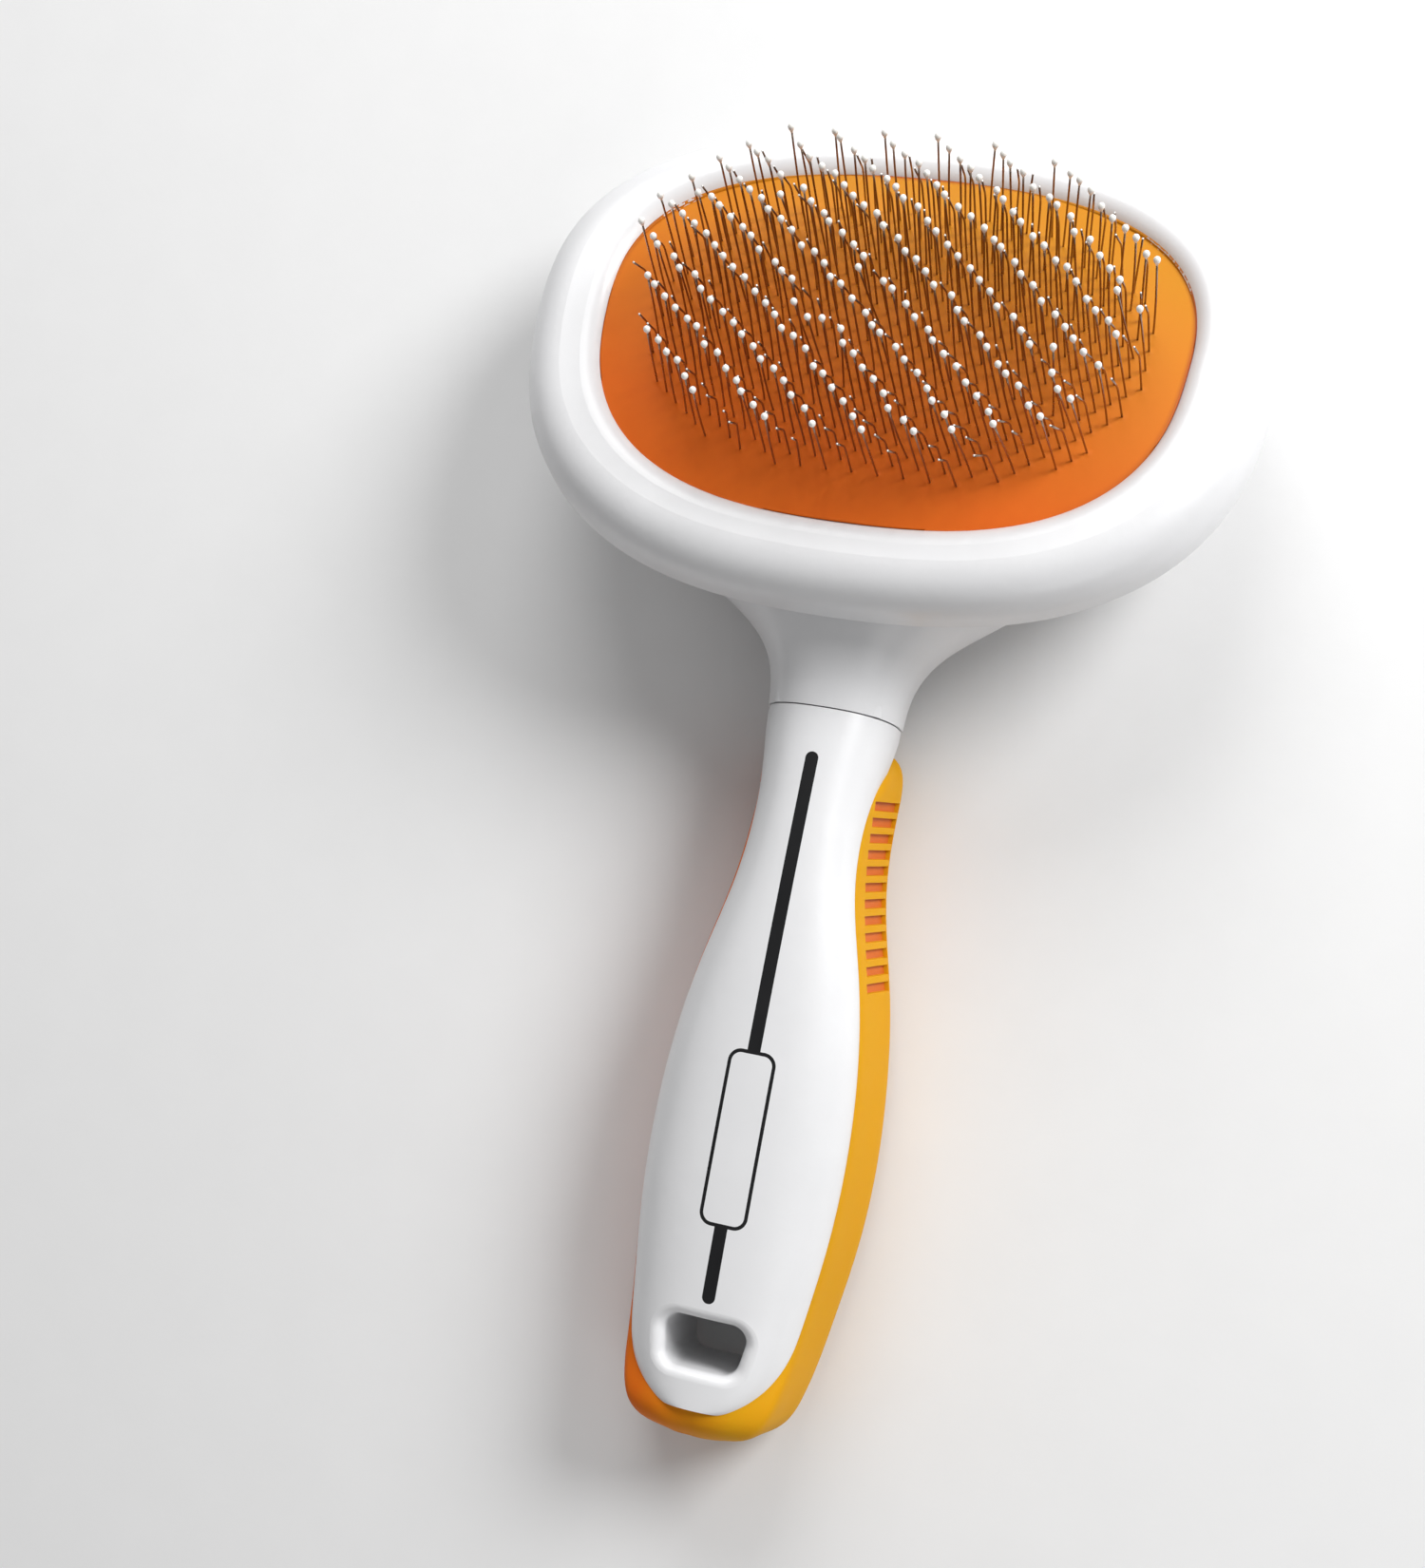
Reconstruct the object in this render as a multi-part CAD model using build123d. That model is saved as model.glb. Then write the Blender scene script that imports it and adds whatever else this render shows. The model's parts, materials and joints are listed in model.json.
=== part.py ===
"""A dual-level slicker brush: a deshedding brush with a cushioned pin pad and a soft-grip handle.

Working frame (mm): origin at the middle of the pad's rim, X across the head, Y from the handle
towards the head, Z up out of the brush's face. The handle runs along -Y. The head's own frame
is the working frame tilted about X, so that its face looks up and a little away from the handle.
At the end everything moves so that the origin is under the middle of the brush, on its back.
"""
import os
from math import cos, pi, sin

from build123d import *

# ---- driving dimensions, mm and degrees ------------------------------------------------
HEAD_TILT = 12.7          # the head's face against the handle's front
BACK_Z = -28.0            # lowest plane of the back, which the brush lies on
PAD_X, PAD_Y = 45.7, 30.9         # half-axes of the visible pad
PAD_POWER, PAD_TAPER = 2.62, 0.06
BEZEL_X, BEZEL_Y = 58.3, 41.5     # half-axes of the bezel's outer wall
BEZEL_POWER, BEZEL_TAPER = 2.51, 0.07
BEZEL_CENTRE_Y = -1.2
BEZEL_TOP, BEZEL_BOTTOM = 1.2, -8.0
BEZEL_OUTER_R, BEZEL_INNER_R = 6.4, 4.0
DOME_RISE = 3.5           # how far the pad's crown stands above its rim
SKIN = 2.0                # thickness of the pad's rubber skin
CARRIER = 1.6             # thickness of the ply sheet under the skin
FOAM_BOTTOM = -4.6
WALL = 2.4                # plastic wall thickness

PIN_R = 0.16              # wire radius
PIN_PITCH_X = 7.9         # one long and one short wire in each pitch
PIN_PITCH_Y = 1.65
LONG_TALL = 16.8          # middle of the ball tips above the pad's skin
BALL_R = 0.52
BEND_TALL, SHORT_TALL, SHORT_REACH = 9.2, 15.0, 2.3   # the bent wires, above the skin
LEAN, LEAN_BY_X, LEAN_BY_XY = 0.025, -0.0017, 0.00015   # sideways lean, for each mm of height
FAN_Y = 1 / 207           # how the rows fan outward along Y
FIELD_X, FIELD_Y = 39.0, 24.5     # half-axes of the field that holds wires
FIELD_CENTRE_X, FIELD_POWER = 1.5, 2.4

HANDLE_START_Y = -64.2    # where the stripe starts; handle stations t run from here along -Y
NECK_SEAM = -8.0          # station of the joint between neck and handle
SEAM_GAP = 0.2
HANDLE_FRONT_Z = -4.0
FRONT_BULGE, BULGE_LENGTH = 1.3, 81.5
HANDLE_POWER = 2.4
SPLIT_Z = -17.5           # joint between the two handle shells, hidden by the grip

STRIPE_W, INLAY_DEPTH = 2.0, 0.5
FRAME_T0, FRAME_T1, FRAME_W, FRAME_LINE = 45.0, 71.5, 7.4, 0.55
STRIPE_END_T = 81.8
HOLE_T0, HOLE_T1, HOLE_TOP_W, HOLE_BOTTOM_W, HOLE_R = 85.2, 92.8, 13.4, 10.8, 2.4
RIBS, RIB_T0, RIB_PITCH, RIB_W, RIB_SUNK = 12, 4.0, 2.55, 1.5, 0.7
RIB_Z, RIB_H, RIB_TILT = -18.2, 9.8, 8.0
RIM_ROUND = 1.5           # rounding of the hang hole's front rim

HEAD = Rot(-HEAD_TILT, 0, 0)


# ---- shared shapes -----------------------------------------------------------------------
def power_curve(power, count):
    """Points round a unit superellipse: a circle at power 2, squarer above it."""
    points = []
    for i in range(count):
        angle = 2 * pi * (i + 0.5) / count
        radius = (abs(cos(angle)) ** power + abs(sin(angle)) ** power) ** (-1 / power)
        points.append((radius * cos(angle), radius * sin(angle)))
    return points


def closed_wire(points):
    """A smooth closed wire, with evenly numbered knots so that lofts through several stay light."""
    return Wire([Edge.make_spline([Vector(*p) for p in points], periodic=True,
                                  parameters=list(range(len(points) + 1)))])


def head_outline(half_x, half_y, centre_y, power, taper):
    """Closed outline of the head in plan, a little wider on the far side."""
    return closed_wire([(half_x * x * (1 + taper * y), centre_y + half_y * y, 0)
                        for x, y in power_curve(power, 24)])


def pad_prism(grow, bottom, top):
    """A straight prism with the pad's outline, grown by a margin."""
    outline = head_outline(PAD_X + grow, PAD_Y + grow, 0, PAD_POWER, PAD_TAPER)
    return extrude(Pos(0, 0, bottom) * Face(outline), top - bottom)


def bezel_prism(grow, bottom, top):
    """A straight prism with the bezel's outer outline, grown by a margin."""
    outline = head_outline(BEZEL_X + grow, BEZEL_Y + grow, BEZEL_CENTRE_Y,
                           BEZEL_POWER, BEZEL_TAPER)
    return extrude(Pos(0, 0, bottom) * Face(outline), top - bottom)


def dome(rise, reach_x, reach_y):
    """A broad cushion-shaped solid, flat below, whose crown is rise above z = 0 at its edge."""
    radius_x = reach_x ** 2 / (2 * rise)
    radius_y = reach_y ** 2 / (2 * rise)
    half, depth = 45, 14
    edge = rise - radius_y + (radius_y ** 2 - half ** 2) ** 0.5
    arc = ThreePointArc((-half, edge), (0, rise), (half, edge))
    low = Polyline((half, edge), (half, -depth), (-half, -depth), (-half, edge))
    profile = Plane.YZ * make_face([arc, low])
    axis = Axis((0, 0, rise - radius_x), (0, 1, 0))
    turn = 2 * 60 / radius_x * 180 / pi
    return revolve(profile.rotate(axis, -turn / 2), axis, turn)


def tube(stations):
    """Loft along -Y through sections (t, half width, mid z, top z, bottom z)."""
    wires = []
    for t, half_w, mid, top, bottom in stations:
        points = []
        for x, z in power_curve(HANDLE_POWER, 20):
            reach = (top - mid) if z > 0 else (mid - bottom)
            points.append((half_w * x, HANDLE_START_Y - t, mid + reach * z))
        wires.append(closed_wire(points))
    return Solid.make_loft(wires)


def front_z(t):
    """Height of the handle's front along its middle line."""
    s = t / BULGE_LENGTH
    return HANDLE_FRONT_Z + 4 * FRONT_BULGE * s * (1 - s)


# ---- handle envelopes --------------------------------------------------------------------
# station, half width, depth of the widest line below the front, back z of the hard shell
SHELL = [(-8, 10.4, 12.4, -24.8), (-2, 9.8, 11.6, -24.4), (4, 9.0, 10.4, -23.4), (11, 8.8, 9.4, -22.8),
         (20, 9.7, 8.8, -23.0), (32, 12.4, 9.2, -23.6), (46, 14.6, 9.6, -24.2),
         (60, 15.3, 10.0, -24.4), (74, 14.6, 9.8, -24.4), (84, 13.4, 9.2, -24.2),
         (89.5, 12.6, 8.6, -23.5), (93.3, 11.4, 7.7, -22.3), (96.2, 9.5, 6.5, -20.6),
         (98.6, 5.4, 4.5, -17.2)]
# station, half width and z where the soft grip leaves the shell, half width, widest z, back z
GRIP = [(-5.0, 5.6, -21.2, 8.2, -22.6, -24.4), (-3.4, 8.2, -20.2, 10.4, -22.8, -25.2),
        (-1.0, 9.9, -17.8, 11.3, -23.0, -26.1), (4, 9.4, -13.6, 11.5, -23.0, -26.7),
        (11, 9.1, -11.4, 11.5, -23.1, -26.9), (20, 10.0, -10.6, 12.5, -23.3, -27.1),
        (32, 12.7, -11.4, 15.3, -23.5, -27.5), (46, 14.9, -12.4, 17.5, -23.8, -27.7),
        (60, 15.6, -12.9, 18.3, -23.9, -27.8), (74, 14.9, -13.0, 17.5, -23.8, -27.7),
        (84, 13.7, -12.6, 16.0, -23.8, -27.6), (91, 12.8, -11.2, 14.8, -23.6, -27.3),
        (96, 11.9, -9.8, 13.6, -23.2, -26.8), (100, 10.3, -9.7, 11.9, -22.6, -25.9),
        (102.2, 7.8, -11.6, 9.2, -21.8, -24.9), (103.2, 4.8, -13.8, 5.8, -20.8, -23.4)]
GRIP_TUCK = 3.0           # how far the grip's inner form rises inside the shell above the seam


def shell_tube(inset=0.0, first=None, last=None):
    """The hard shells' outer form, or a smaller one inside it."""
    rows = []
    for t, half_w, depth, back in SHELL:
        if (first is None or t >= first) and (last is None or t <= last):
            top = front_z(t)
            rows.append((t, half_w - inset, top - depth, top - inset, back + inset))
    return tube(rows)


def grip_section(seam_w, seam_z, half_w, mid, back):
    """Points round the grip: tucked in above the seam, straight sides that flare to a low belly."""
    tuck = seam_z + GRIP_TUCK
    right = [(0.45 * seam_w, tuck - 0.1), (0.85 * seam_w, seam_z + 0.55 * GRIP_TUCK)]
    for share in (0.0, 0.34, 0.67, 0.93):
        right.append((seam_w + share * (half_w - seam_w), seam_z + share * (mid - seam_z)))
    for angle in (20, 45, 68):
        turn = angle * pi / 180
        radius = (cos(turn) ** HANDLE_POWER + sin(turn) ** HANDLE_POWER) ** (-1 / HANDLE_POWER)
        right.append((half_w * radius * cos(turn), mid + (back - mid) * radius * sin(turn)))
    return [(0, tuck)] + right + [(0, back)] + [(-x, z) for x, z in reversed(right)]


def grip_tube(inset=0.0):
    """The soft grip's outer form, or a smaller one inside it."""
    wires = []
    for t, seam_w, seam_z, half_w, mid, back in GRIP:
        section = grip_section(seam_w - inset, seam_z, half_w - inset, mid, back + inset)
        wires.append(closed_wire([(x, HANDLE_START_Y - t, z) for x, z in section]))
    return Solid.make_loft(wires)


def hole_face(grow):
    """The hang hole in plan: a trapezoid with round corners, narrower towards the butt."""
    y0, y1 = HANDLE_START_Y - HOLE_T0 + grow, HANDLE_START_Y - HOLE_T1 - grow
    top, bottom = HOLE_TOP_W / 2 + grow, HOLE_BOTTOM_W / 2 + grow
    shape = make_face(Polyline((-top, y0), (top, y0), (bottom, y1), (-bottom, y1), close=True))
    return fillet(shape.vertices(), HOLE_R + grow)


def hole_prism(grow, bottom=-30, top=2):
    return extrude(Pos(0, 0, bottom) * hole_face(grow), top - bottom)


# ---- head --------------------------------------------------------------------------------
CLAMP_GROW = -3.8                       # clamp frame's edge, inside the bezel's outer wall
CLAMP_TOP = -6.0
PAD_FLANGE_GROW, PAD_FLANGE_TOP = 3.6, -4.6
PAD_LIP = ((-1.0, -1.6), (-0.65, -0.7), (-0.3, -0.2))   # the pad's edge under the bezel's round lip
SCREW_SPOTS = [(51.6, 10.0), (-51.6, 10.0), (24.0, -34.0), (-24.0, -34.0)]


def bezel_ring():
    ring = bezel_prism(0, BEZEL_BOTTOM, BEZEL_TOP)
    ring = fillet(ring.edges().group_by(Axis.Z)[-1], BEZEL_OUTER_R)
    ring -= pad_prism(-1.1, BEZEL_BOTTOM - 1, BEZEL_TOP + 1)
    top_hole = ring.edges().group_by(Axis.Z)[-1].sort_by(Edge.length)[0]
    ring = fillet(top_hole, BEZEL_INNER_R)
    ring -= pad_prism(PAD_FLANGE_GROW + 0.2, CLAMP_TOP - 0.1, PAD_FLANGE_TOP + 0.1)
    ring -= bezel_prism(CLAMP_GROW + 0.1, BEZEL_BOTTOM - 1, CLAMP_TOP)
    groove = bezel_prism(-1.1, BEZEL_BOTTOM - 1, -6.3) - bezel_prism(-2.8, BEZEL_BOTTOM - 1, -6.3)
    ring -= groove
    for x, y in SCREW_SPOTS:
        ring -= Pos(x, y, -4.6) * Cylinder(1.0, 3.6)
    return HEAD * ring


def clamp_frame():
    """The inner frame that clamps the pad's flange against the bezel."""
    frame = bezel_prism(CLAMP_GROW, BEZEL_BOTTOM, CLAMP_TOP - 0.05)
    frame -= pad_prism(-4.7, BEZEL_BOTTOM - 1, CLAMP_TOP + 1)
    for x, y in SCREW_SPOTS:
        frame -= Pos(x, y, -7) * Cylinder(1.3, 4)
    return HEAD * frame


def clamp_screws():
    screws = []
    for x, y in SCREW_SPOTS:
        screw = Pos(x, y, BEZEL_BOTTOM - 0.7) * Cylinder(2.1, 1.4)
        screw += Pos(x, y, -5.5) * Cylinder(1.0, 5.2)
        screw -= Pos(x, y, BEZEL_BOTTOM - 1.4) * Box(2.6, 0.6, 1.0)
        screw -= Pos(x, y, BEZEL_BOTTOM - 1.4) * Box(0.6, 2.6, 1.0)
        screws.append(HEAD * screw)
    return screws


def bowl(inset, depth_share):
    """The head's round back: outlines that shrink and level out on the way down."""
    wires = []
    top_point = HEAD * Pos(0, 0, BEZEL_BOTTOM)
    start_y, start_z = top_point.position.Y, top_point.position.Z
    for depth, scale in ((0, 1), (0.28, 0.985), (0.56, 0.93), (0.82, 0.80), (1, 0.58)):
        share = depth * depth_share
        at = Pos(0, start_y + share * 4, start_z + share * (BACK_Z - start_z))
        outline = head_outline((BEZEL_X - 0.7 - inset) * scale, (BEZEL_Y - 0.7 - inset) * scale,
                               BEZEL_CENTRE_Y * scale, BEZEL_POWER, BEZEL_TAPER)
        wires.append(at * Rot(-HEAD_TILT * (1 - depth), 0, 0) * outline)
    return Solid.make_loft(wires)


NECK = [(-8, 10.6, -17.0, -4.55, -24.8), (-14, 11.4, -16.6, -3.6, -25.0), (-19, 14.0, -15.8, -1.9, -25.2),
        (-23, 18.4, -14.6, -0.3, -25.2), (-28, 25.5, -13.0, -1.0, -24.8), (-34, 31.0, -13.0, -2.6, -24.0)]
SPIGOT_W, SPIGOT_H, SPIGOT_Z, SPIGOT_LENGTH = 12.0, 10.0, -14.4, 13.0
NECK_SCREW_Y = HANDLE_START_Y - NECK_SEAM + 7.0


def spigot(grow):
    """The tongue that carries the head, from the seam into the neck."""
    y = HANDLE_START_Y - NECK_SEAM
    block = Box(SPIGOT_W + 2 * grow, SPIGOT_LENGTH + grow, SPIGOT_H + 2 * grow,
                align=(Align.CENTER, Align.MIN, Align.CENTER))
    block = fillet(block.edges().filter_by(Axis.Y), 2.0)
    return Pos(0, y, SPIGOT_Z) * block


def rear_housing():
    housing = bowl(0, 1.0) + tube(NECK)
    housing -= bowl(2.6, 0.88)
    tongue = bezel_prism(-1.3, BEZEL_BOTTOM - 0.4, -6.6) - bezel_prism(-2.6, BEZEL_BOTTOM - 0.4, -6.6)
    housing += HEAD * tongue
    housing += spigot(2.6)
    housing -= spigot(0.1)
    housing -= HEAD * bezel_prism(10, BEZEL_BOTTOM, 12) - HEAD * bezel_prism(-1.3, BEZEL_BOTTOM, 12)
    seam_y = HANDLE_START_Y - NECK_SEAM + SEAM_GAP
    housing -= Pos(0, seam_y, SPIGOT_Z) * Box(60, 20, 60, align=(Align.CENTER, Align.MAX, Align.CENTER))
    housing -= Pos(0, NECK_SCREW_Y, -24.4) * Cylinder(3.2, 5.0)
    housing -= Pos(0, NECK_SCREW_Y, -21) * Cylinder(1.7, 8)
    return housing


def neck_screw():
    screw = Pos(0, NECK_SCREW_Y, -22.95) * Cylinder(2.9, 2.0)
    screw += Pos(0, NECK_SCREW_Y, -16.9) * Cylinder(1.45, 10.2)
    screw -= Pos(0, NECK_SCREW_Y, -23.9) * Box(3.4, 0.8, 1.6)
    screw -= Pos(0, NECK_SCREW_Y, -23.9) * Box(0.8, 3.4, 1.6)
    return screw


# ---- cushion and wires -------------------------------------------------------------------
def pad_dome(lower):
    return Pos(0, 0, -lower) * dome(DOME_RISE, PAD_X, PAD_Y)


def pin_pad():
    pad = pad_prism(-1.35, -6.0, 8) & pad_dome(0)
    for grow, bottom in PAD_LIP:
        pad += pad_prism(grow, bottom, 8) & pad_dome(0)
    pad -= pad_prism(-1.35 - SKIN, -7.0, 8) & pad_dome(SKIN)
    pad += pad_prism(PAD_FLANGE_GROW, -5.9, PAD_FLANGE_TOP) - pad_prism(-1.35 - SKIN, -7, 0)
    return HEAD * pad


def pin_carrier():
    """The stiff ply sheet under the skin, which the wires are set in."""
    sheet = pad_prism(-4.2, -8, 8) & pad_dome(SKIN + 0.03)
    return HEAD * (sheet - pad_dome(SKIN + CARRIER))


def pad_foam():
    """The foam that fills the hollow under the ply sheet."""
    return HEAD * (pad_prism(-5.4, FOAM_BOTTOM, 8) & pad_dome(SKIN + CARRIER + 0.03))


def in_field(x, y):
    """Whether a wire at x, y is inside the wired field."""
    across = abs((x - FIELD_CENTRE_X) / (FIELD_X * (1 + PAD_TAPER * y / FIELD_Y)))
    return across ** FIELD_POWER + abs(y / FIELD_Y) ** FIELD_POWER < 1


def wire_spots(shift):
    """Places of one kind of wire: each row is a quarter pitch along from the one before."""
    spots = []
    for row in range(-16, 17):
        for column in range(-9, 10):
            x = PIN_PITCH_X * (column + shift - 0.25 * row)
            y = PIN_PITCH_Y * row
            if in_field(x, y):
                spots.append((x, y))
    return spots


def upright(x, y):
    """The place of a wire: its foot on the skin, with the lean it has there."""
    crown = DOME_RISE * (1 - (x / PAD_X) ** 2 - (y / PAD_Y) ** 2)
    lean_x, lean_y = LEAN + LEAN_BY_X * x + LEAN_BY_XY * x * y, FAN_Y * y
    return HEAD * Pos(x, y, crown) * Rot(-lean_y * 180 / pi, lean_x * 180 / pi, 0)


def wire_head():
    """The flat head of a wire, under the ply sheet."""
    return Pos(0, 0, -SKIN - CARRIER - 0.2) * Cylinder(0.6, 0.4)


def long_pins():
    root = -SKIN - CARRIER
    wire = Cylinder(PIN_R, LONG_TALL - 0.4 - root, align=(Align.CENTER, Align.CENTER, Align.MIN))
    wire = Pos(0, 0, root) * wire + wire_head()
    return [upright(x, y) * wire for x, y in wire_spots(0)]


def long_pin_tips():
    ball = Sphere(BALL_R) - Pos(0, 0, -0.4 - BALL_R) * Box(2, 2, 2 * BALL_R)
    return [upright(x, y) * Pos(0, 0, LONG_TALL) * ball for x, y in wire_spots(0)]


def short_pins():
    root = -SKIN - CARRIER
    path = Polyline((0, 0, root), (0, 0, BEND_TALL), (0, -SHORT_REACH, SHORT_TALL))
    wire = sweep(Plane((0, 0, root)) * Circle(PIN_R), path, transition=Transition.RIGHT)
    wire += wire_head()
    return [upright(x, y) * wire for x, y in wire_spots(0.5)]


# ---- handle ------------------------------------------------------------------------------
def below_split():
    """The part of the handle that the rear shell takes."""
    y0 = HANDLE_START_Y - 6
    return Pos(0, y0, SPLIT_Z) * Box(60, 120, 30, align=(Align.CENTER, Align.MAX, Align.MAX))


def post(t, radius, bottom, top):
    return Pos(0, HANDLE_START_Y - t, bottom) * Cylinder(
        radius, top - bottom, align=(Align.CENTER, Align.CENTER, Align.MIN))


POSTS = (26, 68)


def inlay_prisms():
    """The stripe's two runs and the label's outline, as prisms through the handle."""
    def bar(t0, t1, width, radius):
        length = t1 - t0
        shape = RectangleRounded(width, length, radius)
        return extrude(Pos(0, HANDLE_START_Y - (t0 + t1) / 2, -14) * shape, 18)
    upper = bar(-1.0, FRAME_T0 + 1.2, STRIPE_W, STRIPE_W / 2 - 0.01)
    lower = bar(FRAME_T1 - 1.2, STRIPE_END_T + 1.0, STRIPE_W, STRIPE_W / 2 - 0.01)
    outer = bar(FRAME_T0, FRAME_T1, FRAME_W, 2.0)
    inner = bar(FRAME_T0 + FRAME_LINE, FRAME_T1 - FRAME_LINE, FRAME_W - 2 * FRAME_LINE, 2.0 - FRAME_LINE)
    return upper - outer, lower - outer, outer - inner


def build_handle():
    shell = shell_tube()
    skin = shell_tube() - Pos(0, 0, -INLAY_DEPTH) * shell_tube()
    hole = hole_prism(0)
    stripe_upper, stripe_lower, label_frame = [prism & skin for prism in inlay_prisms()]

    hollow = shell_tube(WALL, 11, 74)
    front = shell - hollow - below_split() + spigot(0)
    rear = (shell & below_split()) - hollow
    for t in POSTS:
        front += post(t, 3.0, SPLIT_Z, -4.4)
        front += post(t, 1.5, SPLIT_Z - 3, SPLIT_Z)
        rear += post(t, 3.0, -24.5, SPLIT_Z) & shell
        rear -= post(t, 1.55, SPLIT_Z - 3.2, SPLIT_Z)
    for piece in (stripe_upper, stripe_lower, label_frame):
        front -= piece
    front -= hole
    hole_y0, hole_y1 = HANDLE_START_Y - HOLE_T0 + 0.5, HANDLE_START_Y - HOLE_T1 - 0.5
    rim = [edge for edge in front.edges()
           if hole_y1 < edge.center().Y < hole_y0 and abs(edge.center().X) < HOLE_TOP_W / 2 + 1
           and edge.center().Z > -8 and edge.bounding_box().size.Z < RIM_ROUND]
    front = front.fillet(RIM_ROUND, rim)
    front -= Pos(0, NECK_SCREW_Y, -16.9) * Cylinder(1.45, 10.4)
    rear += hole_prism(1.8, -30, SPLIT_Z - 1) & grip_tube()
    rear -= hole

    grip = grip_tube() - shell - hole_prism(1.8)
    bars = {1: [], -1: []}
    bar_form = grip_tube(RIB_SUNK) - shell
    for k in range(RIBS):
        y = HANDLE_START_Y - RIB_T0 - k * RIB_PITCH
        for side in (1, -1):
            slot = Pos(side * 15, y, RIB_Z) * Rot(RIB_TILT, 0, 0) * Box(18, RIB_W, RIB_H)
            bars[side].append(bar_form & slot)
            grip -= slot
    return {"handle_front_shell": front, "handle_rear_shell": rear, "soft_grip": grip,
            "stripe_upper": stripe_upper, "stripe_lower": stripe_lower, "label_frame": label_frame,
            "rib_bars_right": bars[1], "rib_bars_left": bars[-1]}


# ---- the whole brush ---------------------------------------------------------------------
def one_shape(piece):
    """A node's solids as one shape."""
    if isinstance(piece, list):
        return Compound(children=[solid for part in piece for solid in part.solids()])
    solids = piece.solids()
    return solids[0] if len(solids) == 1 else Compound(children=list(solids))


nodes = {"bezel_ring": bezel_ring(), "rear_housing": rear_housing(), "neck_screw": neck_screw(),
         "clamp_frame": clamp_frame(), "clamp_screws": clamp_screws(), "pin_pad": pin_pad(),
         "pad_foam": pad_foam(), "pin_carrier": pin_carrier(), "long_pins": long_pins(),
         "long_pin_tips": long_pin_tips(), "short_pins": short_pins()}
nodes.update(build_handle())

head_end = nodes["bezel_ring"].bounding_box().max.Y
butt_end = nodes["soft_grip"].bounding_box().min.Y
STAND = Pos(0, -(head_end + butt_end) / 2, -BACK_Z)

os.makedirs("parts", exist_ok=True)
for name, piece in nodes.items():
    export_step(STAND * one_shape(piece), f"parts/{name}.step")
print("shift", STAND.position)
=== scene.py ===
import json
from math import cos, pi, radians, sin

import bpy
import numpy as np
from mathutils import Matrix, Vector


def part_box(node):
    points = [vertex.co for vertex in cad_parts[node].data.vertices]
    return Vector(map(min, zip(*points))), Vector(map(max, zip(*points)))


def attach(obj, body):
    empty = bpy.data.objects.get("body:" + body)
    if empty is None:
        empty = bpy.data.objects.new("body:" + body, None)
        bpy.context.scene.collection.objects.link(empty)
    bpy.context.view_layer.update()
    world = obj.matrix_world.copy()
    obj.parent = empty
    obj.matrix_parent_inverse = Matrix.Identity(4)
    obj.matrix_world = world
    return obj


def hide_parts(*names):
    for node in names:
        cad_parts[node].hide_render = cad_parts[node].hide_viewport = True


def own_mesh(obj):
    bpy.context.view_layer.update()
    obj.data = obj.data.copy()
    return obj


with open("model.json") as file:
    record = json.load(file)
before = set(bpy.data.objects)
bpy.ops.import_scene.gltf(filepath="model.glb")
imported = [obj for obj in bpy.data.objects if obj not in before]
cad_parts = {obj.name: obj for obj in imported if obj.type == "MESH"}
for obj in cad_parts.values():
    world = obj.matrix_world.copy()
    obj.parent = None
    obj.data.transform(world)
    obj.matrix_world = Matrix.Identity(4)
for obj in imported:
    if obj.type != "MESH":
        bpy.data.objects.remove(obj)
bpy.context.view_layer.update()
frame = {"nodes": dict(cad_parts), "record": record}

MM = 0.001
rng = np.random.default_rng(7)

# The head's own frame, as in the CAD: origin at the middle of the pad's rim, in mm.
HEAD_TILT = 12.7
TURN = Matrix.Rotation(radians(-HEAD_TILT), 4, "X")
FRAME_MID = Vector((0, -1.2, -7.025))
low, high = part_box("clamp_frame")
HEAD_AT = (Vector(low) + Vector(high)) / 2 / MM - TURN @ FRAME_MID
HEAD_AT.x = 0.0
HEAD = Matrix.Translation(HEAD_AT) @ TURN

PAD_X, PAD_Y, PAD_POWER, PAD_TAPER = 45.7, 30.9, 2.62, 0.06
DOME_RISE, SKIN = 3.5, 2.0
FIELD_X, FIELD_Y, FIELD_CENTRE_X, FIELD_POWER = 39.0, 24.5, 1.5, 2.4
PITCH_X, PITCH_Y = 7.9, 1.65
WIRE_R, LONG_TALL, ROOT = 0.16, 16.8, -3.6
BEND_TALL, SHORT_TALL, REACH, BEND_ROUND = 9.2, 15.0, 2.3, 1.2
LEAN, LEAN_BY_X, LEAN_BY_XY, FAN_Y = 0.025, -0.0017, 0.00015, 1 / 207.0


# ---- materials ---------------------------------------------------------------------------
MOTTLE_SCALE, SMEAR_SCALE = 90, 35    # noise scales of the two-tone colour and the uneven roughness
SCATTER = 2 * MM                      # subsurface scattering scale
FINE_STRENGTH, SLOW_STRENGTH = 0.5, 0.4
FLATTEST_WAVE = 0.001                 # mm


def link(tree, source, target):
    tree.links.new(source, target)


def noise(tree, coords, scale, detail=4.0, rough=0.55):
    node = tree.nodes.new("ShaderNodeTexNoise")
    node.inputs["Scale"].default_value = scale
    node.inputs["Detail"].default_value = detail
    node.inputs["Roughness"].default_value = rough
    link(tree, coords, node.inputs["Vector"])
    return node.outputs["Fac"]


def remap(tree, value, low, high, out_low, out_high):
    node = tree.nodes.new("ShaderNodeMapRange")
    for key, number in (("From Min", low), ("From Max", high), ("To Min", out_low), ("To Max", out_high)):
        node.inputs[key].default_value = number
    link(tree, value, node.inputs["Value"])
    return node.outputs["Result"]


def mix_color(tree, factor, first, second, mode="MIX"):
    node = tree.nodes.new("ShaderNodeMix")
    node.data_type, node.blend_type = "RGBA", mode
    for socket, value in ((node.inputs[0], factor), (node.inputs[6], first), (node.inputs[7], second)):
        if isinstance(value, (int, float)):
            socket.default_value = value
        elif isinstance(value, tuple):
            socket.default_value = (*value, 1.0)
        else:
            link(tree, value, socket)
    return node.outputs[2]


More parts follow.
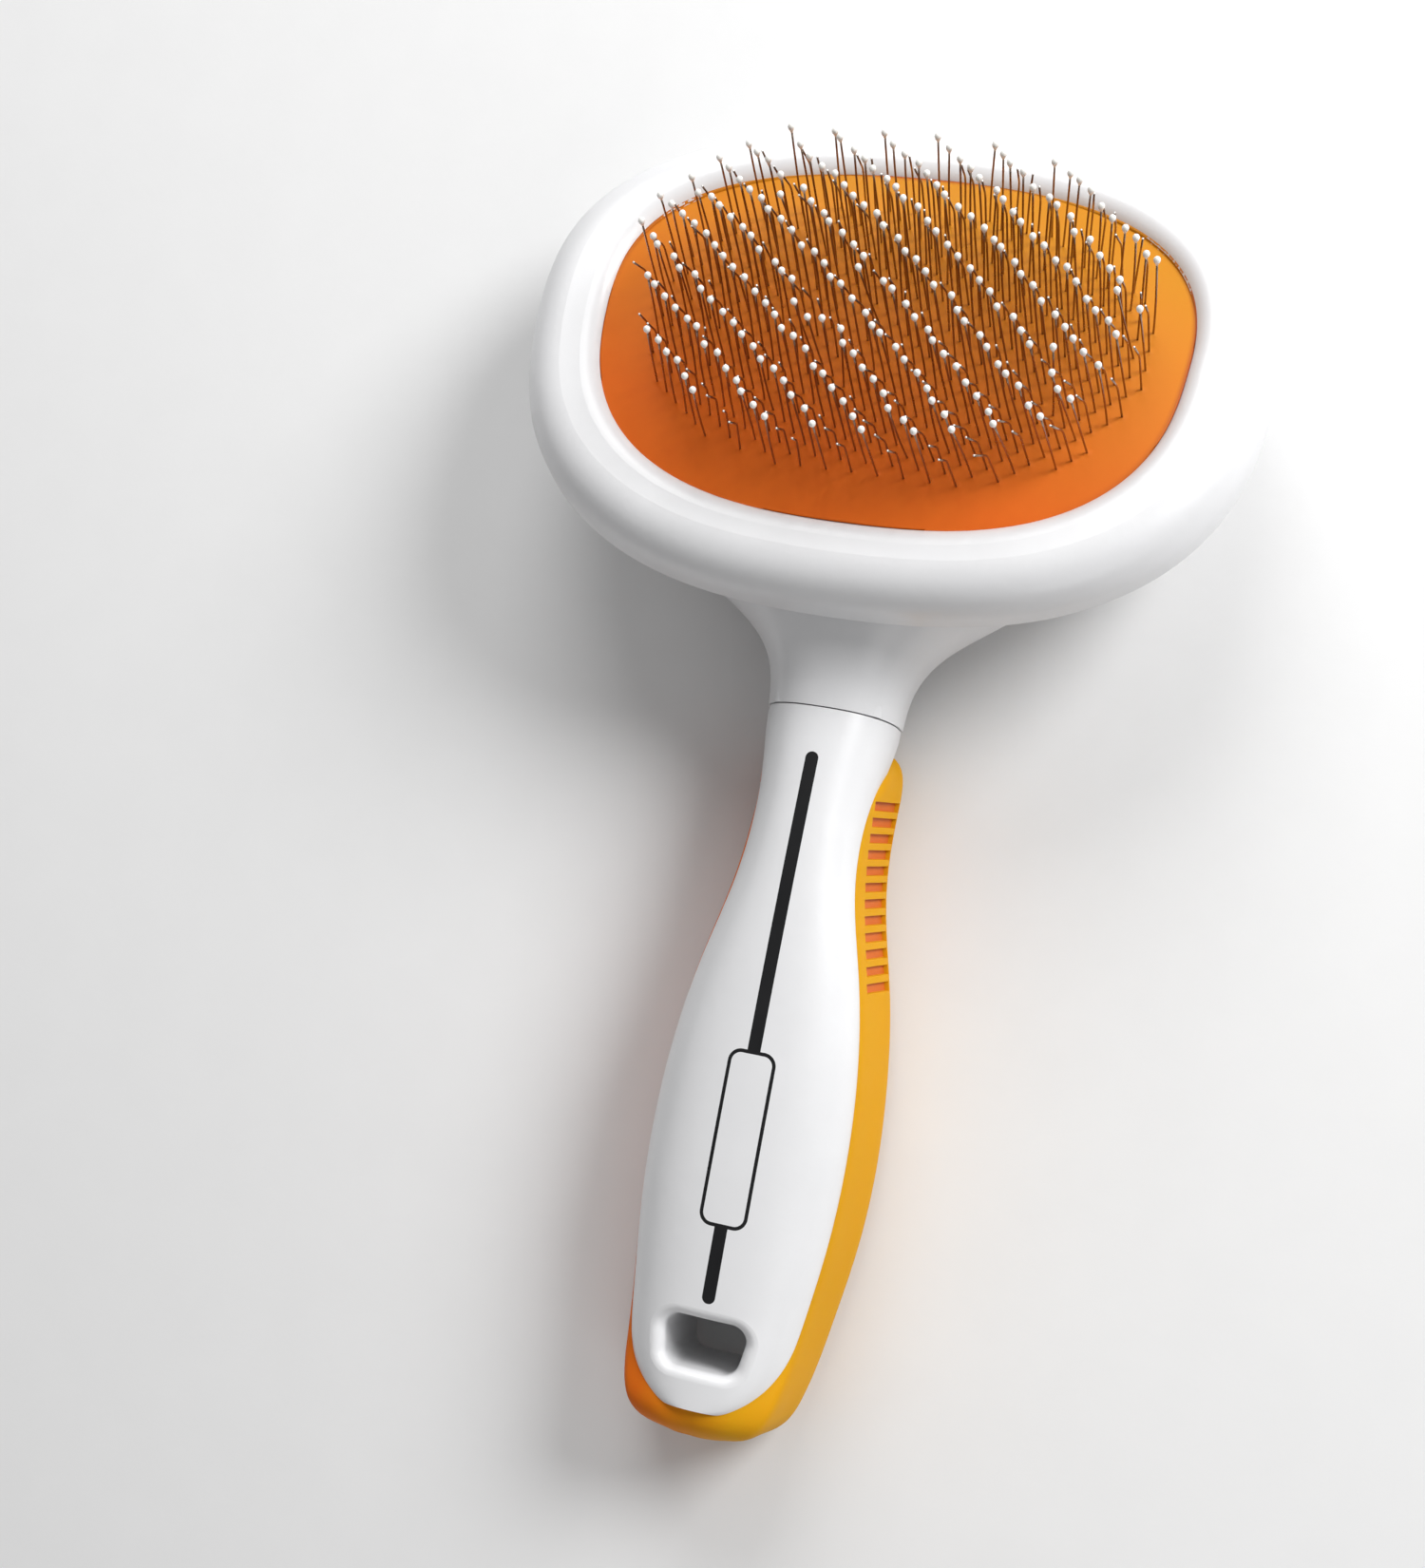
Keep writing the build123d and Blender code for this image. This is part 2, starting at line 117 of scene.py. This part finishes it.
def finish_material(name, color, other, roughness, spread, grain=2500, grain_depth=0.02,
                    wave=60, wave_depth=0.0, metallic=0.0, coat=0.0, coat_roughness=0.2,
                    subsurface=0.0, specular=0.5, along=None, rim=None):
    """A procedural material: two-tone colour, uneven roughness, fine grain and slow waviness.

    along is (start, end, far colour, share): painted light and shade, the colour fades to the far one from
    start to end.
    rim is a painted shadow colour, laid where the mesh's rim attribute is 1. Depths are in mm.
    """
    material = bpy.data.materials.new(name)
    material.use_nodes = True
    tree = material.node_tree
    shader = tree.nodes["Principled BSDF"]
    coords = tree.nodes.new("ShaderNodeTexCoord").outputs["Object"]
    mottle = remap(tree, noise(tree, coords, MOTTLE_SCALE, 6, 0.6), 0.35, 0.65, 0, 1)
    tone = mix_color(tree, mottle, color, other)
    # Painted light and shade: along fades the colour towards a far colour in a fixed direction.
    if along:
        start, end, far_color, share = along
        split = tree.nodes.new("ShaderNodeVectorMath")
        split.operation = "DOT_PRODUCT"
        step = Vector(end) - Vector(start)
        split.inputs[1].default_value = step / step.length_squared
        link(tree, coords, split.inputs[0])
        offset = Vector(start).dot(step) / step.length_squared
        fade = remap(tree, split.outputs["Value"], offset, 1 + offset, 0, share)
        tone = mix_color(tree, fade, tone, far_color)
    # Painted shadow: the rim colour is laid where the mesh's rim attribute is 1.
    if rim:
        edge = tree.nodes.new("ShaderNodeAttribute")
        edge.attribute_name = "rim"
        tone = mix_color(tree, edge.outputs["Fac"], tone, rim)
    link(tree, tone, shader.inputs["Base Color"])
    smear = noise(tree, coords, SMEAR_SCALE, 8, 0.65)
    link(tree, remap(tree, smear, 0.3, 0.7, roughness - spread, roughness + spread),
         shader.inputs["Roughness"])
    shader.inputs["Metallic"].default_value = metallic
    shader.inputs["Coat Weight"].default_value = coat
    shader.inputs["Coat Roughness"].default_value = coat_roughness
    shader.inputs["Specular IOR Level"].default_value = specular
    shader.inputs["Subsurface Weight"].default_value = subsurface
    shader.inputs["Subsurface Scale"].default_value = SCATTER
    fine = tree.nodes.new("ShaderNodeBump")
    fine.inputs["Strength"].default_value = FINE_STRENGTH
    fine.inputs["Distance"].default_value = grain_depth * MM
    link(tree, noise(tree, coords, grain, 3, 0.6), fine.inputs["Height"])
    slow = tree.nodes.new("ShaderNodeBump")
    slow.inputs["Strength"].default_value = SLOW_STRENGTH
    slow.inputs["Distance"].default_value = max(wave_depth, FLATTEST_WAVE) * MM
    link(tree, noise(tree, coords, wave, 2, 0.5), slow.inputs["Height"])
    link(tree, fine.outputs["Normal"], slow.inputs["Normal"])
    link(tree, slow.outputs["Normal"], shader.inputs["Normal"])
    return material


# Painted light and shade: the pad's and the grip's colours fade from a shaded deep orange at the start to
# a lit amber at the end. Where these fades start and end, in metres.
PAD_SHADED_START, PAD_LIT_END = (0.000, 0.044, 0.03), (0.010, 0.088, 0.03)
GRIP_SHADED_START, GRIP_LIT_END = (-0.009, -0.04, 0.012), (0.006, -0.04, 0.012)
looks = {
    "white_plastic": finish_material("white_plastic", (0.75, 0.75, 0.76), (0.73, 0.73, 0.74), 0.33, 0.05,
                                     grain=3000, grain_depth=0.006, wave=70, wave_depth=0.03, coat=0.15),
    # pad_rubber: its along fade from deep orange to amber is painted light and shade; its rim colour is a
    # painted shadow along the far edge under the bezel.
    "pad_rubber": finish_material("pad_rubber", (0.74, 0.135, 0.007), (0.70, 0.122, 0.006), 0.55, 0.06,
                                  grain=2600, grain_depth=0.02, subsurface=0.08, specular=0.2,
                                  along=(PAD_SHADED_START, PAD_LIT_END, (0.55, 0.21, 0.004), 1.0),
                                  rim=(0.30, 0.04, 0.006)),
    # grip_rubber: its along fade is painted shade, deep orange on the shaded side turning amber on the lit
    # side.
    "grip_rubber": finish_material("grip_rubber", (0.72, 0.15, 0.008), (0.68, 0.14, 0.007), 0.58, 0.06,
                                   grain=2200, grain_depth=0.03, subsurface=0.1, specular=0.12,
                                   along=(GRIP_SHADED_START, GRIP_LIT_END, (0.66, 0.31, 0.004), 1.0)),
    "rib_rubber": finish_material("rib_rubber", (0.66, 0.15, 0.012), (0.60, 0.13, 0.010), 0.52, 0.06,
                                  grain=2200, grain_depth=0.03, specular=0.3),
    "black_inlay": finish_material("black_inlay", (0.009, 0.009, 0.010), (0.013, 0.013, 0.014), 0.48, 0.06,
                                   grain=3000, grain_depth=0.008, specular=0.2),
    "wire_steel": finish_material("wire_steel", (0.40, 0.31, 0.25), (0.28, 0.20, 0.15), 0.28, 0.08,
                                  grain=4000, grain_depth=0.01, metallic=1.0),
    "cut_steel": finish_material("cut_steel", (0.92, 0.90, 0.87), (0.84, 0.82, 0.79), 0.45, 0.08,
                                 grain=4000, grain_depth=0.01, metallic=0.4),
    "tip_resin": finish_material("tip_resin", (0.93, 0.92, 0.88), (0.89, 0.87, 0.82), 0.28, 0.06,
                                 grain=3000, grain_depth=0.01, coat=0.3),
    "inner_plastic": finish_material("inner_plastic", (0.7, 0.7, 0.7), (0.66, 0.66, 0.66), 0.5, 0.06),
    "screw_steel": finish_material("screw_steel", (0.62, 0.62, 0.64), (0.5, 0.5, 0.52), 0.3, 0.08,
                                   grain=4000, metallic=1.0),
    "cushion_foam": finish_material("cushion_foam", (0.72, 0.68, 0.55), (0.6, 0.56, 0.45), 0.9, 0.05,
                                    grain=1500, grain_depth=0.15),
    "ply_sheet": finish_material("ply_sheet", (0.42, 0.36, 0.28), (0.34, 0.29, 0.22), 0.85, 0.05,
                                 grain=1800, grain_depth=0.08),
}
for part in frame["record"]["subparts"]:
    node = frame["nodes"][part["node"]]
    for slot in node.material_slots:
        slot.material = looks[part["material_slot"]]


# ---- mesh helpers ------------------------------------------------------------------------
def piece(name, vertices, faces, materials, body, material_ids=None):
    """A smooth-shaded piece from vertices in the head's frame, in mm, that rides on a body."""
    turn = np.array(HEAD)
    placed = (np.asarray(vertices) @ turn[:3, :3].T + turn[:3, 3]) * MM
    mesh = bpy.data.meshes.new(name)
    mesh.from_pydata(placed.tolist(), [], faces)
    for look in materials:
        mesh.materials.append(looks[look])
    if material_ids is not None:
        mesh.polygons.foreach_set("material_index", material_ids)
    mesh.polygons.foreach_set("use_smooth", [True] * len(mesh.polygons))
    mesh.update()
    obj = bpy.data.objects.new(name, mesh)
    bpy.context.scene.collection.objects.link(obj)
    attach(obj, body)
    return obj


def tubes(paths, radii, sides):
    """Vertices, side faces and end faces of round tubes along paths of shape (count, steps, 3)."""
    count, steps = paths.shape[:2]
    tangent = np.gradient(paths, axis=1)
    tangent /= np.linalg.norm(tangent, axis=2, keepdims=True)
    side = np.cross(tangent, (1.0, 0.0, 0.0))
    side /= np.linalg.norm(side, axis=2, keepdims=True)
    other = np.cross(tangent, side)
    angles = 2 * pi * np.arange(sides) / sides
    ring = side[:, :, None] * np.cos(angles)[:, None] + other[:, :, None] * np.sin(angles)[:, None]
    vertices = paths[:, :, None] + ring * np.asarray(radii)[None, :, None, None]
    base = np.arange(count)[:, None, None] * steps * sides
    row = np.arange(steps - 1)[None, :, None] * sides
    k = np.arange(sides)[None, None, :]
    after = (k + 1) % sides
    quads = np.stack([base + row + k, base + row + after, base + row + sides + after,
                      base + row + sides + k], axis=-1).reshape(-1, 4).tolist()
    ends = []
    for i in range(count):
        first = i * steps * sides
        last = first + (steps - 1) * sides
        ends.append(list(range(first + sides - 1, first - 1, -1)))
        ends.append(list(range(last, last + sides)))
    return vertices.reshape(-1, 3), quads, ends


# ---- wires -------------------------------------------------------------------------------
def wire_spots(shift):
    """Places of one kind of wire, by the same rule as the CAD."""
    spots = []
    for row in range(-16, 17):
        for column in range(-9, 10):
            x = PITCH_X * (column + shift - 0.25 * row)
            y = PITCH_Y * row
            across = abs((x - FIELD_CENTRE_X) / (FIELD_X * (1 + PAD_TAPER * y / FIELD_Y)))
            if across ** FIELD_POWER + abs(y / FIELD_Y) ** FIELD_POWER < 1:
                spots.append((x, y))
    return np.array(spots)


# Each wire's own error: the spread of its lean, and a few strays that lean more.
LEAN_SPREAD, STRAY_SHARE, STRAY_LEAN = 0.018, 0.05, 0.07


def crown(x, y):
    """Height of the pad's skin."""
    return DOME_RISE * (1 - (x / PAD_X) ** 2 - (y / PAD_Y) ** 2)


def leans(spots):
    """How far each wire leans, as x and y per mm of height: the CAD's lean and a little of its own."""
    lean = rng.normal(0, LEAN_SPREAD, (len(spots), 2))
    stray = rng.random(len(spots)) < STRAY_SHARE
    lean[stray] += rng.normal(0, STRAY_LEAN, (int(stray.sum()), 2))
    lean[:, 0] += LEAN + LEAN_BY_X * spots[:, 0] + LEAN_BY_XY * spots[:, 0] * spots[:, 1]
    lean[:, 1] += FAN_Y * spots[:, 1]
    return lean


def standing(spots, lean, heights, offsets=None):
    """Paths up the leaning wires at these heights over the skin; offsets run along -Y."""
    heights = np.broadcast_to(heights, (len(spots), np.shape(heights)[-1]))
    ways = np.column_stack([lean, np.ones(len(spots))])
    ways /= np.linalg.norm(ways, axis=1, keepdims=True)
    feet = np.column_stack([spots, crown(spots[:, 0], spots[:, 1])])
    paths = feet[:, None] + ways[:, None] * heights[:, :, None]
    if offsets is not None:
        paths[:, :, 1] -= offsets
    return paths


long_spots, short_spots = wire_spots(0), wire_spots(0.5)
long_lean, short_lean = leans(long_spots), leans(short_spots)
HEIGHT_SPREAD, BOW_SPREAD = 0.12, 0.10    # mm
extra = rng.normal(0, HEIGHT_SPREAD, (len(long_spots), 1))

STEPS, WIRE_SIDES, DROP_SIDES = 8, 10, 16
INTO_DROP = 0.35          # how far below the drop's middle the wire ends, inside it
paths = standing(long_spots, long_lean, np.linspace(ROOT, LONG_TALL - INTO_DROP, STEPS) + extra)
bow = rng.normal(0, BOW_SPREAD, (len(long_spots), 1, 2)) * np.sin(np.linspace(0, pi, STEPS))[None, :, None]
paths[:, :, :2] += bow
vertices, quads, ends = tubes(paths, [WIRE_R] * STEPS, WIRE_SIDES)
wires = piece("wires_long", vertices, quads + ends, ["wire_steel"], "pin_cushion")
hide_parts("long_pins")

# The ball tip's egg shape: heights from its middle, and the radius at each.
DROP_RISE = np.array([-1.12, -0.92, -0.66, -0.38, -0.14, 0.08, 0.28, 0.43, 0.52, 0.55])
DROP_R = [0.17, 0.22, 0.33, 0.45, 0.515, 0.52, 0.45, 0.32, 0.17, 0.02]
paths = standing(long_spots, long_lean, LONG_TALL + DROP_RISE + extra)
vertices, quads, ends = tubes(paths, DROP_R, DROP_SIDES)
tips = piece("ball_tips", vertices, quads + ends, ["tip_resin"], "pin_cushion")
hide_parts("long_pin_tips")

# The bent wires' own errors: reach (a share), bend height (mm) and sideways turn of the tip (a share).
REACH_SPREAD, BEND_SPREAD, TURN_SPREAD = 0.10, 0.25, 0.14
BENT_FROM = BEND_TALL - 2 # heights above this take the wire's own bend height
slope = REACH / (SHORT_TALL - BEND_TALL)
arc = np.linspace(0, 1, 6)
heights = np.concatenate([[ROOT, 3.0], BEND_TALL + BEND_ROUND * (2 * arc - 1), [SHORT_TALL]])
offsets = np.concatenate([[0, 0], slope * BEND_ROUND * arc ** 2, [REACH]])
stretch = rng.normal(1, REACH_SPREAD, (len(short_spots), 1))
raised = rng.normal(0, BEND_SPREAD, (len(short_spots), 1)) * (heights > BENT_FROM)
paths = standing(short_spots, short_lean, heights + raised, offsets[None] * stretch)
paths[:, :, 0] += offsets[None] * rng.normal(0, TURN_SPREAD, (len(short_spots), 1))
vertices, quads, ends = tubes(paths, [WIRE_R] * len(heights), WIRE_SIDES)
material_ids = [0] * len(quads) + [0, 1] * len(short_spots)
hooks = piece("wires_short", vertices, quads + ends, ["wire_steel", "cut_steel"],
              "pin_cushion", material_ids)
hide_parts("short_pins")


# ---- pad ---------------------------------------------------------------------------------
RISE, RISE_REACH, MOAT, MOAT_REACH = 0.16, 0.25, 0.07, 0.9    # a dimple's heights (mm) and squared reaches
DIMPLE_SPAN = 2           # mm
RIM_GROW = -0.12          # the skin's edge against the pad's outline
LOW_X, LOW_Y = 0.955, 0.935           # the skin's underside against its top, in plan
SKIN_ACROSS, SKIN_ALONG = 300, 210    # grid points
# Rings of the skin's edge: growth against the pad's outline and height, down under the bezel's
# lip, out to the clamped flange and back in below it.
EDGE_RINGS = ((-0.16, -0.12), (-0.45, -0.5), (-0.8, -1.15), (-1.08, -1.9), (-1.2, -2.8),
              (-1.2, -4.2), (-0.8, -4.6), (3.4, -4.6), (3.6, -4.8), (3.6, -5.7),
              (3.4, -5.9), (-3.2, -5.9), (-3.35, -5.6))
# Width of the painted shadow band along the pad's far edge.
RIM_BAND = 0.9            # mm


def pad_rim(angle, grow):
    """A point of the pad's outline, grown by a margin."""
    radius = (np.abs(np.cos(angle)) ** PAD_POWER + np.abs(np.sin(angle)) ** PAD_POWER) ** (-1 / PAD_POWER)
    x, y = radius * np.cos(angle), radius * np.sin(angle)
    return (PAD_X + grow) * x * (1 + PAD_TAPER * y), (PAD_Y + grow) * y


def dimples(x, y):
    """The rubber is drawn up a little round each wire, with a fine moat."""
    spots = np.concatenate([long_spots, short_spots])
    depth = np.zeros_like(x)
    for spot_x, spot_y in spots:
        near = (np.abs(x - spot_x) < DIMPLE_SPAN) & (np.abs(y - spot_y) < DIMPLE_SPAN)
        apart = (x[near] - spot_x) ** 2 + (y[near] - spot_y) ** 2
        depth[near] += RISE * np.exp(-apart / RISE_REACH) - MOAT * np.exp(-apart / MOAT_REACH)
    return depth


def build_pad():
    """The rubber skin: a crowned sheet with a rim under the bezel and a clamped flange."""
    a, b = np.meshgrid(np.linspace(-1, 1, SKIN_ACROSS), np.linspace(-1, 1, SKIN_ALONG), indexing="ij")
    reach = np.maximum(np.abs(a), np.abs(b))
    angle = np.arctan2(b, a)
    rim_x, rim_y = pad_rim(angle, RIM_GROW)
    x, y = reach * rim_x, reach * rim_y
    top = np.stack([x, y, crown(x, y) + dimples(x, y)], -1).reshape(-1, 3)
    low_x, low_y = x * LOW_X, y * LOW_Y
    low = np.stack([low_x, low_y, crown(low_x, low_y) - SKIN], -1).reshape(-1, 3)
    grid = np.arange(SKIN_ACROSS * SKIN_ALONG).reshape(SKIN_ACROSS, SKIN_ALONG)
    quads = np.stack([grid[:-1, :-1], grid[1:, :-1], grid[1:, 1:], grid[:-1, 1:]], -1).reshape(-1, 4)
    edge = np.concatenate([grid[:-1, 0], grid[-1, :-1], grid[:0:-1, -1], grid[0, :0:-1]])
    vertices = [top, low]
    faces = quads.tolist() + (quads[:, ::-1] + len(top)).tolist()
    rings = [edge]
    ring_angle = angle.reshape(-1)[edge]
    total = 2 * len(top)
    for grow, height in EDGE_RINGS:
        ring_x, ring_y = pad_rim(ring_angle, grow)
        vertices.append(np.stack([ring_x, ring_y, np.full(len(edge), height)], -1))
        rings.append(np.arange(total, total + len(edge)))
        total += len(edge)
    rings.append(edge + len(top))
    for upper, lower in zip(rings, rings[1:]):
        ahead_u, ahead_l = np.roll(upper, -1), np.roll(lower, -1)
        faces += np.stack([upper, lower, ahead_l, ahead_u], -1).tolist()
    return np.concatenate(vertices), faces


def painted_rim_shadow(points):
    """Painted shadow along the skin's far edge, under the bezel: 1 at the edge; 0 from RIM_BAND inward and
    near the handle.
    """
    angle = np.arctan2(points[:, 1] / PAD_Y, points[:, 0] / PAD_X)
    edge_x, edge_y = pad_rim(angle, 0.0)
    reach = np.hypot(points[:, 0], points[:, 1]) - np.hypot(edge_x, edge_y)
    far_side = np.clip(0.5 + points[:, 1] / PAD_Y + 0.5 * points[:, 0] / PAD_X, 0, 1)
    return far_side * np.clip(1 + (reach + 0.15) / RIM_BAND, 0, 1) ** 1.5


vertices, faces = build_pad()
pad = piece("pad_skin", vertices, faces, ["pad_rubber"], "brush_body")
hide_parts("pin_pad")
# The rim attribute carries the painted shadow along the pad's far edge, under the bezel.
shade = pad.data.attributes.new("rim", "FLOAT", "POINT")
shade.data.foreach_set("value", painted_rim_shadow(vertices))
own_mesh(pad)


# ---- floor, lights and camera ------------------------------------------------------------
FLOOR_HALF = 3.0          # metres


def floor():
    mesh = bpy.data.meshes.new("floor")
    corners = [(x * FLOOR_HALF, y * FLOOR_HALF, 0) for x, y in ((-1, -1), (1, -1), (1, 1), (-1, 1))]
    mesh.from_pydata(corners, [], [(0, 1, 2, 3)])
    material = finish_material("floor_paint", (0.80, 0.80, 0.80), (0.79, 0.79, 0.79), 0.7, 0.03,
                               grain=900, grain_depth=0.02)
    mesh.materials.append(material)
    obj = bpy.data.objects.new("floor", mesh)
    bpy.context.scene.collection.objects.link(obj)


floor()

# The camera in the head's frame: angles, distance (mm) and the point it looks at.
ELEVATION, AZIMUTH, ROLL, DISTANCE = radians(66.5), radians(38.9), radians(26.9), 288.51
AIM = Vector((-9.2, -74.65, 0))
back = Vector((sin(AZIMUTH) * cos(ELEVATION), -cos(AZIMUTH) * cos(ELEVATION), sin(ELEVATION)))
level = Vector((cos(AZIMUTH), sin(AZIMUTH), 0))
rise = back.cross(level)
right = cos(ROLL) * level - sin(ROLL) * rise
up = sin(ROLL) * level + cos(ROLL) * rise
axes = HEAD.to_3x3() @ Matrix((right, up, back)).transposed()
seat = HEAD @ (AIM + DISTANCE * back) * MM
lens = bpy.data.cameras.new("camera")
lens.lens, lens.sensor_width = 46.36, 36.0
lens.clip_start = 0.01
camera = bpy.data.objects.new("camera", lens)
camera.matrix_world = Matrix.Translation(seat) @ axes.to_4x4()
bpy.context.scene.collection.objects.link(camera)
bpy.context.scene.camera = camera


LIT_POINT = Vector((0, 0.01, 0.02))


def lamp(name, sideways, upward, toward, size, power):
    """A soft area light, placed along the camera's own axes and aimed at the brush."""
    at = LIT_POINT + axes @ Vector((sideways, upward, toward))
    light = bpy.data.lights.new(name, "AREA")
    light.shape, light.size, light.energy = "DISK", size, power
    obj = bpy.data.objects.new(name, light)
    look = (LIT_POINT - at).to_track_quat("-Z", "Y")
    obj.matrix_world = Matrix.Translation(at) @ look.to_matrix().to_4x4()
    bpy.context.scene.collection.objects.link(obj)


lamp("key_right", 0.52, 0.44, 0.58, 0.45, 7.3)
lamp("top_back", -0.10, 0.75, 0.35, 0.5, 3.5)
lamp("fill_low", 0.25, -0.5, 0.6, 0.5, 0.7)
bpy.context.scene.view_settings.view_transform = "Standard"
world = bpy.data.worlds.new("studio")
world.use_nodes = True
world.node_tree.nodes["Background"].inputs["Color"].default_value = (1, 1, 1, 1)
world.node_tree.nodes["Background"].inputs["Strength"].default_value = 0.30
bpy.context.scene.world = world
